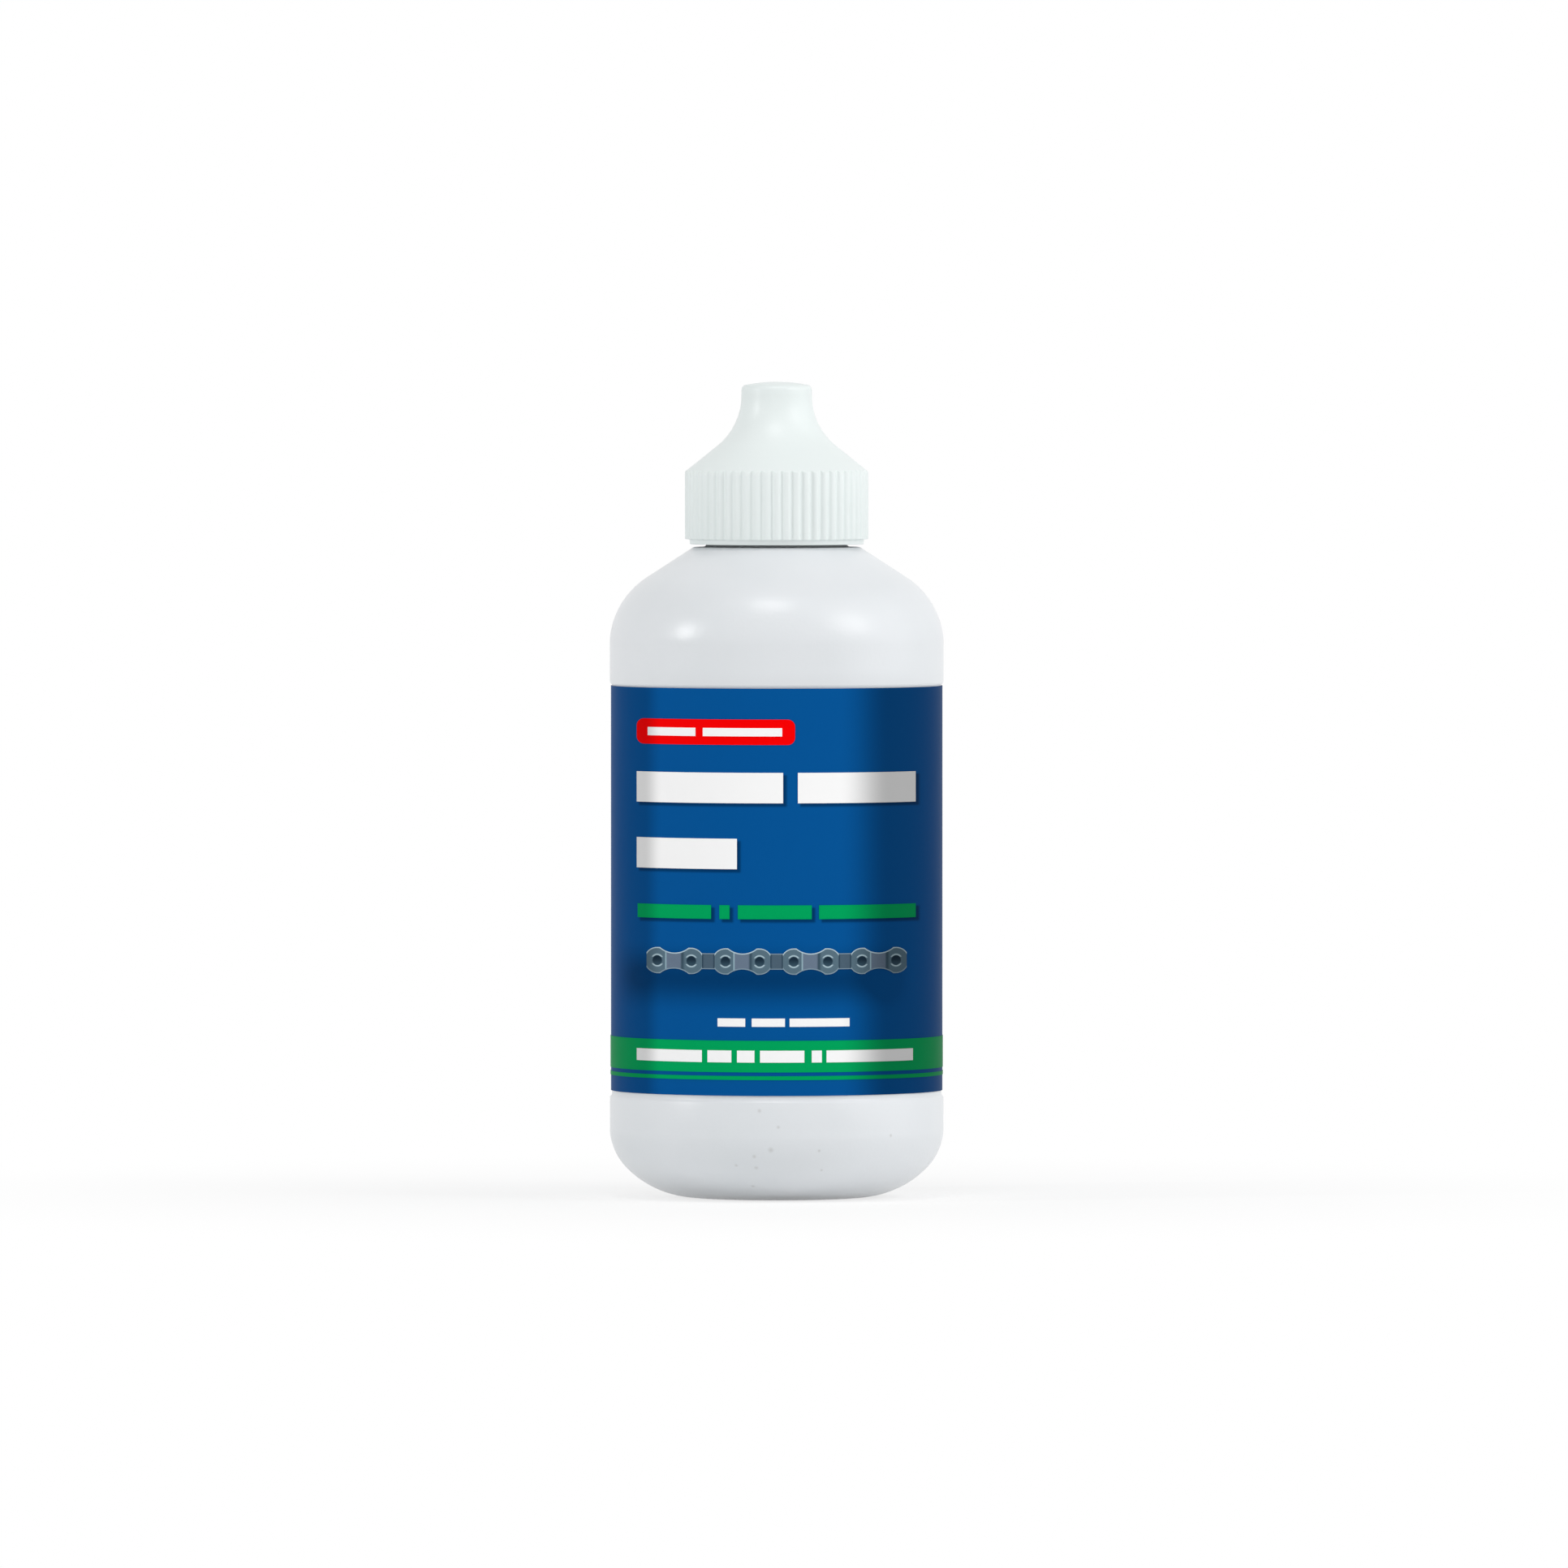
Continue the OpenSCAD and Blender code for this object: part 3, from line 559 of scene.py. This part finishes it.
def ring_of_copies():
    """Sets copies of one wedge round the axis and joins them into one skin."""
    group = bpy.data.node_groups.new("ring of copies", "GeometryNodeTree")
    socket(group, "Wedge", "NodeSocketGeometry")
    socket(group, "Copies", "NodeSocketInt", default=RIBS)
    socket(group, "Join within", "NodeSocketFloat", default=JOIN_WITHIN)
    socket(group, "Material", "NodeSocketMaterial")
    socket(group, "Ring", "NodeSocketGeometry", out=True)
    nodes, link = group.nodes, group.links.new
    given, put = nodes.new("NodeGroupInput"), nodes.new("NodeGroupOutput")
    points = nodes.new("GeometryNodePoints")
    link(given.outputs["Copies"], points.inputs["Count"])
    index = nodes.new("GeometryNodeInputIndex")
    step = nodes.new("ShaderNodeMath")
    step.operation = "DIVIDE"
    step.inputs[0].default_value = 2 * math.pi
    link(given.outputs["Copies"], step.inputs[1])
    turn = nodes.new("ShaderNodeMath")
    turn.operation = "MULTIPLY"
    link(index.outputs["Index"], turn.inputs[0])
    link(step.outputs["Value"], turn.inputs[1])
    about = nodes.new("ShaderNodeCombineXYZ")
    link(turn.outputs["Value"], about.inputs["Z"])
    copies = nodes.new("GeometryNodeInstanceOnPoints")
    link(points.outputs["Points"], copies.inputs["Points"])
    link(given.outputs["Wedge"], copies.inputs["Instance"])
    link(about.outputs["Vector"], copies.inputs["Rotation"])
    real = nodes.new("GeometryNodeRealizeInstances")
    link(copies.outputs["Instances"], real.inputs["Geometry"])
    join = nodes.new("GeometryNodeMergeByDistance")
    link(real.outputs["Geometry"], join.inputs["Geometry"])
    link(given.outputs["Join within"], join.inputs["Distance"])
    painted = nodes.new("GeometryNodeSetMaterial")
    link(join.outputs["Geometry"], painted.inputs["Geometry"])
    link(given.outputs["Material"], painted.inputs["Material"])
    link(painted.outputs["Geometry"], put.inputs["Ring"])
    return group


def set_inputs(modifier, **values):
    for item in modifier.node_group.interface.items_tree:
        key = item.name.lower().replace(" ", "_")
        if item.in_out == "INPUT" and key in values:
            modifier[item.identifier] = values[key]


cap_plastic = plastic("cap_plastic", colour(229, 237, 236), colour(234, 241, 240), CAP_ROUGHNESS,
                      grain_size=0.45, grain_height=0.008, glow=0.03)
ring = wedge_object.modifiers.new("ring", "NODES")
ring.node_group = ring_of_copies()
set_inputs(ring, copies=RIBS, join_within=JOIN_WITHIN, material=cap_plastic)
evaluated = wedge_object.evaluated_get(bpy.context.evaluated_depsgraph_get())
ring_mesh = bpy.data.meshes.new_from_object(evaluated)
bpy.data.objects.remove(wedge_object)

moulded = bmesh.new()
moulded.from_mesh(ring_mesh)
cap_thread_z = CAP_Z + THREAD_ROOT_W / 2 + THREAD_LEAD
thread_taper = (CAP_BORE_R - NECK_R) * (THREAD_ROOT_W - THREAD_CREST_W) / 2 / THREAD_H
thread_offset = THREAD_ROOT_W - thread_taper + FLANK_GAP
add_thread(moulded, CAP_BORE_R, NECK_R + THREAD_CLEAR, cap_thread_z,
           360 * (cap_thread_z + thread_offset - neck_thread_z) / PITCH, CAP_TURNS)
cap = finished(moulded, "screw_cap", crease=50)
cap.data.materials.clear()
cap.data.materials.append(cap_plastic)
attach(cap, "screw_cap")
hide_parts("cap")

# ------------------------------------------------------------------ label and print
# Thin gloss film wrapped round the body, its ends nearly meeting at the back, printed in blue.
# Painted shade darkens the print in soft columns at both sides, with a painted shadow under the links.
# Each column of painted shade: the two places across between which it changes, and the share of colour left
# in it
LEFT_PAINTED_SHADE = (-14.4, -12.4, 0.65)
RIGHT_PAINTED_SHADE = (6.6, 12.2, 0.41)
CHAIN_Z = 26.25
CHAIN_PITCH = 3.7
LINK_END = 1.17
HOLLOW_R, HOLLOW_AT = 2.425, 3.285
FILM_ROUGHNESS, FILM_ROUGHNESS_SPREAD = 0.42, 0.04
FILM_SHEEN = 0.01
FILM_GRAIN, FILM_GRAIN_HEIGHT = 1.6, 0.01
# Bars that throw a printed shadow down to the right, each (left, right, low, high)
SHADOWED_BARS = [(-15.2, 0.7, 43.39, 46.69), (2.3, 15.1, 43.39, 46.69), (-15.2, -4.3, 36.25, 39.55),
                 (-15.1, -7.1, 30.84, 32.34), (-6.2, -5.1, 30.84, 32.34), (-4.2, 3.8, 30.84, 32.34),
                 (4.6, 15.1, 30.84, 32.34)]
BAR_SHADOW = 0.55
# Where each edge of that shadow is full and where it ends, from the bar's own edge
BAR_SHADOW_EDGES = (("x", "Left", 0.4, 0.1), ("x", "Right", 0.2, 0.6), ("z", "Low", -0.2, -0.55),
                    ("z", "High", -0.4, -0.1))
# The shadow under the links: along each axis, where it ends and where it is full
LINKS_SHADOW = (("z", 20.2, 24.4), ("z", 28.6, 24.4), ("x", -18.5, -14.8), ("x", 15.0, 10.5),
                ("y", 0, -4))
LINKS_SHADOW_DEPTH = 0.51
DARKEST = 0.36
# The painted shade columns fade out between these two depths, behind the bottle's middle
BEHIND = (1, 8)
# Tones of the drawn links, and where each begins and is full
STEEL = {"plate": (90, 114, 128), "waist": (106, 122, 141), "bend": (60, 82, 96), "shine": (150, 178, 190),
         "rim low": (132, 154, 168), "rim high": (180, 202, 212), "ring": (170, 194, 204),
         "inner dark": (46, 66, 82), "inner": (78, 98, 114), "inner edge": (128, 150, 165),
         "pin high": (28, 47, 62), "pin low": (54, 78, 93), "pin edge": (72, 94, 108)}
WAIST = (1.0, 0.85)
BEND_SIDES = ((0.6, 0.86), (1.2, 0.88))
SHINE_SIDES = ((-1.04, -0.94), (-0.8, -0.9))
HOLLOW_RIM = (HOLLOW_R + 0.14, HOLLOW_R + 0.08)
EYE_RIM_ASIDE, EYE_RIM_AWAY = (1.45, 1.6), (1.28, 1.35)
EYE_RING_AWAY, EYE_RING_HEIGHT = (0.74, 0.66), (0.3, 0.42)
INNER_LINK_AT = LINK_END + 1.85
INNER_STEP, INNER_DARK = (INNER_LINK_AT - 0.01, INNER_LINK_AT + 0.01), (INNER_LINK_AT, INNER_LINK_AT + 0.25)
INNER_EDGE = (0.74, 0.8)
RIM_LIGHT, PIN_LIGHT, PIN_RIM = (-0.5, 0.5), (0.3, -0.5), (0.46, 0.55)


def ramp(nodes, link, value, low, high, start=0.0, end=1.0):
    """A smooth change from start to end as value goes from low to high, in millimetres."""
    made = nodes.new("ShaderNodeMapRange")
    made.interpolation_type = "SMOOTHSTEP"
    made.inputs["From Min"].default_value = low * MM
    made.inputs["From Max"].default_value = high * MM
    made.inputs["To Min"].default_value = start
    made.inputs["To Max"].default_value = end
    link(value, made.inputs["Value"])
    return made.outputs["Result"]


def combine(nodes, link, operation, *values):
    made = nodes.new("ShaderNodeMath")
    made.operation = operation
    for i, value in enumerate(values):
        if isinstance(value, (int, float)):
            made.inputs[i].default_value = value
        else:
            link(value, made.inputs[i])
    return made.outputs["Value"]


def within(nodes, link, *limits):
    """1 where each given value has gone from its low to its high, and 0 where one hasn't begun."""
    result = 1
    for value, low, high in limits:
        result = combine(nodes, link, "MULTIPLY", result, ramp(nodes, link, value, low, high))
    return result


def mixed(nodes, link, factor, first, second):
    """First colour, changed to the second where factor is 1. Each is a steel, a colour or an output."""
    made = nodes.new("ShaderNodeMix")
    made.data_type = "RGBA"
    link(factor, made.inputs["Factor"])
    for key, value in (("A", first), ("B", second)):
        if isinstance(value, str):
            made.inputs[key].default_value = colour(*STEEL[value])
        elif isinstance(value, tuple):
            made.inputs[key].default_value = value
        else:
            link(value, made.inputs[key])
    return made.outputs["Result"]


def object_axes(nodes, link):
    place = nodes.new("ShaderNodeTexCoord")
    axes = nodes.new("ShaderNodeSeparateXYZ")
    link(place.outputs["Object"], axes.inputs["Vector"])
    return {name.lower(): axes.outputs[name] for name in "XYZ"}


def painted_shade():
    """How much of each colour is left under painted shade: in the two side columns, and in the painted
    shadow under the links.
    """
    group = bpy.data.node_groups.new("painted shade", "ShaderNodeTree")
    socket(group, "Columns", "NodeSocketFloat", out=True)
    socket(group, "Columns and shadow", "NodeSocketFloat", out=True)
    nodes, link = group.nodes, group.links.new
    put = nodes.new("NodeGroupOutput")
    at = object_axes(nodes, link)
    # Painted shade: the label's sides darker, as where light falls off round the body, but not behind it
    left = ramp(nodes, link, at["x"], *LEFT_PAINTED_SHADE, 1)
    right = ramp(nodes, link, at["x"], RIGHT_PAINTED_SHADE[0], RIGHT_PAINTED_SHADE[1], 1, RIGHT_PAINTED_SHADE[2])
    behind = ramp(nodes, link, at["y"], *BEHIND)
    both = combine(nodes, link, "MAXIMUM", combine(nodes, link, "MULTIPLY", left, right), behind)
    link(both, put.inputs["Columns"])
    shadow = within(nodes, link, *[(at[axis], end, full) for axis, end, full in LINKS_SHADOW])
    kept = combine(nodes, link, "MULTIPLY_ADD", shadow, -LINKS_SHADOW_DEPTH, 1)
    link(combine(nodes, link, "MAXIMUM", combine(nodes, link, "MULTIPLY", both, kept), DARKEST),
         put.inputs["Columns and shadow"])
    return group


def bar_shadow():
    """Soft shadow of one printed bar, down to the right of it. The bar's sides are in millimetres."""
    group = bpy.data.node_groups.new("bar shadow", "ShaderNodeTree")
    for name in ("Left", "Right", "Low", "High"):
        socket(group, name, "NodeSocketFloat")
    socket(group, "Shadow", "NodeSocketFloat", out=True)
    nodes, link = group.nodes, group.links.new
    given, put = nodes.new("NodeGroupInput"), nodes.new("NodeGroupOutput")
    at = object_axes(nodes, link)
    limits = [(at["y"], 0, -1)]
    for axis, side, full, end in BAR_SHADOW_EDGES:
        limits.append((combine(nodes, link, "MULTIPLY_ADD", given.outputs[side], -MM, at[axis]), end, full))
    link(within(nodes, link, *limits), put.inputs["Shadow"])
    return group


SHADE = painted_shade()
BAR = bar_shadow()


def ink(name, full, shaded="Columns and shadow", pattern=None, bars=()):
    """Printed film in one colour, or in the colours of a pattern, darkened by painted shade."""
    made = bpy.data.materials.new(name)
    made.use_nodes = True
    nodes, link = made.node_tree.nodes, made.node_tree.links.new
    shader = nodes["Principled BSDF"]
    shader.inputs["Specular IOR Level"].default_value = FILM_SHEEN
    shade = nodes.new("ShaderNodeGroup")
    shade.node_tree = SHADE
    kept = shade.outputs[shaded]
    for sides in bars:
        dark = nodes.new("ShaderNodeGroup")
        dark.node_tree = BAR
        for key, value in zip(("Left", "Right", "Low", "High"), sides):
            dark.inputs[key].default_value = value
        kept = combine(nodes, link, "MULTIPLY", kept,
                       combine(nodes, link, "MULTIPLY_ADD", dark.outputs["Shadow"], -BAR_SHADOW, 1))
    paint = pattern(nodes, link) if pattern else full
    link(mixed(nodes, link, kept, (0, 0, 0, 1), paint), shader.inputs["Base Color"])
    skin = nodes.new("ShaderNodeGroup")
    skin.node_tree = SKIN
    skin.inputs["Grain size"].default_value = FILM_GRAIN
    skin.inputs["Roughness low"].default_value = FILM_ROUGHNESS - FILM_ROUGHNESS_SPREAD
    skin.inputs["Roughness high"].default_value = FILM_ROUGHNESS + FILM_ROUGHNESS_SPREAD
    link(skin.outputs["Roughness"], shader.inputs["Roughness"])
    bump = nodes.new("ShaderNodeBump")
    bump.inputs["Distance"].default_value = FILM_GRAIN_HEIGHT * MM
    link(skin.outputs["Height"], bump.inputs["Height"])
    link(bump.outputs["Normal"], shader.inputs["Normal"])
    return made


def from_pins(nodes, link):
    """Where a point is on its link: along from the outer link's middle, up, and away from a pin."""
    at = object_axes(nodes, link)
    along = combine(nodes, link, "WRAP", combine(nodes, link, "SUBTRACT", at["x"], CHAIN_PITCH * MM),
                    CHAIN_PITCH * MM, -CHAIN_PITCH * MM)
    up = combine(nodes, link, "SUBTRACT", at["z"], CHAIN_Z * MM)
    aside = combine(nodes, link, "ABSOLUTE", along)
    beside = combine(nodes, link, "SUBTRACT", aside, CHAIN_PITCH / 2 * MM)
    away = combine(nodes, link, "SQRT", combine(nodes, link, "MULTIPLY_ADD", beside, beside,
                                                combine(nodes, link, "MULTIPLY", up, up)))
    return along, up, aside, away


def link_steel(nodes, link):
    """Steel link plates, outer and inner in turn, with light rims and a bend beside each waist."""
    along, up, aside, away = from_pins(nodes, link)
    height = combine(nodes, link, "ABSOLUTE", up)
    paint = mixed(nodes, link, ramp(nodes, link, aside, *WAIST), "plate", "waist")
    bend = within(nodes, link, *[(along, low, high) for low, high in BEND_SIDES])
    paint = mixed(nodes, link, bend, paint, "bend")
    shine = within(nodes, link, *[(along, low, high) for low, high in SHINE_SIDES])
    paint = mixed(nodes, link, shine, paint, "shine")
    down = combine(nodes, link, "SUBTRACT", height, HOLLOW_AT * MM)
    from_hollow = combine(nodes, link, "SQRT", combine(nodes, link, "MULTIPLY_ADD", down, down,
                                                       combine(nodes, link, "MULTIPLY", along, along)))
    rim = combine(nodes, link, "MAXIMUM", ramp(nodes, link, from_hollow, *HOLLOW_RIM),
                  within(nodes, link, (aside, *EYE_RIM_ASIDE), (away, *EYE_RIM_AWAY)))
    light = mixed(nodes, link, ramp(nodes, link, up, *RIM_LIGHT), "rim low", "rim high")
    paint = mixed(nodes, link, rim, paint, light)
    ring = within(nodes, link, (away, *EYE_RING_AWAY), (height, *EYE_RING_HEIGHT))
    paint = mixed(nodes, link, ring, paint, "ring")
    inner = mixed(nodes, link, ramp(nodes, link, aside, *INNER_DARK), "inner dark", "inner")
    inner = mixed(nodes, link, ramp(nodes, link, height, *INNER_EDGE), inner, "inner edge")
    return mixed(nodes, link, ramp(nodes, link, aside, *INNER_STEP), paint, inner)


def pin_steel(nodes, link):
    """Dark hollow pin heads, a little lighter towards their lower edge."""
    _, up, _, away = from_pins(nodes, link)
    paint = mixed(nodes, link, ramp(nodes, link, up, *PIN_LIGHT), "pin high", "pin low")
    return mixed(nodes, link, ramp(nodes, link, away, *PIN_RIM), paint, "pin edge")


inks = {
    "label": ink("label_film", colour(6, 84, 151), bars=SHADOWED_BARS),
    "print_red": ink("red_ink", colour(252, 2, 4)),
    "print_green": ink("green_ink", colour(1, 164, 92)),
    "print_white": ink("white_ink", colour(253, 253, 253)),
    # The drawn links take the painted shade of the side columns, but not the painted shadow under them
    "print_links": ink("steel_ink", None, "Columns", link_steel),
    "print_pins": ink("dark_steel_ink", None, "Columns", pin_steel),
}
for node, made in inks.items():
    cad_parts[node].material_slots[0].material = made

# ------------------------------------------------------------------ floor, backdrop and light
# A plain white floor that pales away from the bottle, white all round, four lamps and an even sky.
# The lamps are where their soft reflections fall on the shoulder of the bottle.
SKY = 0.43
FLOOR_GLOW = 0.75
FLOOR_Z, FLOOR_REACH, FLOOR_SHADE, FLOOR_ROUGHNESS = -0.02, 6, 0.98, 0.9
# Distances from the bottle's axis, in metres, between which the floor pales
PALES_FROM, PALES_TO = 0.015, 0.12
# Each lamp: the way to it, its level and its two sides
LAMPS = {
    "left": ((-0.88, -0.36, 0.31), 0.22, (0.1, 0.22)),
    "top": ((-0.05, -0.46, 0.89), 0.2, (0.3, 0.25)),
    "right": ((0.75, -0.44, 0.49), 0.2, (0.32, 0.36)),
    "right_side": ((1.0, -0.25, 0.5), 0.34, (1.1, 1.1)),
}
LAMP_DISTANCE = 0.9
LAMPS_AIM = Vector((0, 0, 0.06))


def seen_as_backdrop(nodes, link):
    """1 for what the camera sees, straight or in a reflection or through glass, and else 0."""
    path = nodes.new("ShaderNodeLightPath")
    either = combine(nodes, link, "MAXIMUM", path.outputs["Is Camera Ray"], path.outputs["Is Glossy Ray"])
    return combine(nodes, link, "MAXIMUM", either, path.outputs["Is Transmission Ray"])


floor_mesh = bpy.data.meshes.new("floor")
floor_corners = [(x * FLOOR_REACH, y * FLOOR_REACH, FLOOR_Z * MM)
                 for x, y in ((-1, -1), (1, -1), (1, 1), (-1, 1))]
floor_mesh.from_pydata(floor_corners, [], [(0, 1, 2, 3)])
ground = bpy.data.objects.new("floor", floor_mesh)
scene.collection.objects.link(ground)
floor_paint = bpy.data.materials.new("floor")
floor_paint.use_nodes = True
nodes, link = floor_paint.node_tree.nodes, floor_paint.node_tree.links.new
shader = nodes["Principled BSDF"]
shader.inputs["Base Color"].default_value = (FLOOR_SHADE, FLOOR_SHADE, FLOOR_SHADE, 1)
shader.inputs["Roughness"].default_value = FLOOR_ROUGHNESS
shader.inputs["Specular IOR Level"].default_value = 0
white = nodes.new("ShaderNodeEmission")
place = nodes.new("ShaderNodeTexCoord")
away = nodes.new("ShaderNodeVectorMath")
away.operation = "LENGTH"
link(place.outputs["Object"], away.inputs[0])
paler = nodes.new("ShaderNodeMapRange")
paler.interpolation_type = "SMOOTHSTEP"
paler.inputs["From Min"].default_value = PALES_FROM
paler.inputs["From Max"].default_value = PALES_TO
paler.inputs["To Min"].default_value = FLOOR_GLOW
paler.inputs["To Max"].default_value = 1
link(away.outputs["Value"], paler.inputs["Value"])
part = combine(nodes, link, "MULTIPLY", paler.outputs["Result"], seen_as_backdrop(nodes, link))
mix = nodes.new("ShaderNodeMixShader")
link(part, mix.inputs["Fac"])
link(shader.outputs["BSDF"], mix.inputs[1])
link(white.outputs["Emission"], mix.inputs[2])
link(mix.outputs["Shader"], nodes["Material Output"].inputs["Surface"])
floor_mesh.materials.append(floor_paint)

world = bpy.data.worlds.new("sky")
scene.world = world
world.use_nodes = True
nodes, link = world.node_tree.nodes, world.node_tree.links.new
sky = nodes["Background"]
sky.inputs["Color"].default_value = (1, 1, 1, 1)
sky.inputs["Strength"].default_value = SKY
backdrop = nodes.new("ShaderNodeBackground")
backdrop.inputs["Color"].default_value = (1, 1, 1, 1)
backdrop.inputs["Strength"].default_value = 1
mix = nodes.new("ShaderNodeMixShader")
link(seen_as_backdrop(nodes, link), mix.inputs["Fac"])
link(sky.outputs["Background"], mix.inputs[1])
link(backdrop.outputs["Background"], mix.inputs[2])
link(mix.outputs["Shader"], nodes["World Output"].inputs["Surface"])

for name, (way, level, size) in LAMPS.items():
    lamp_data = bpy.data.lights.new("lamp_" + name, "AREA")
    lamp_data.shape = "RECTANGLE"
    lamp_data.size, lamp_data.size_y = size
    lamp_data.energy = level * math.pi ** 2 * LAMP_DISTANCE ** 2
    lamp = bpy.data.objects.new("lamp_" + name, lamp_data)
    way = Vector(way).normalized()
    lamp.location = LAMPS_AIM + way * LAMP_DISTANCE
    lamp.rotation_euler = way.to_track_quat("Z", "Y").to_euler()
    scene.collection.objects.link(lamp)
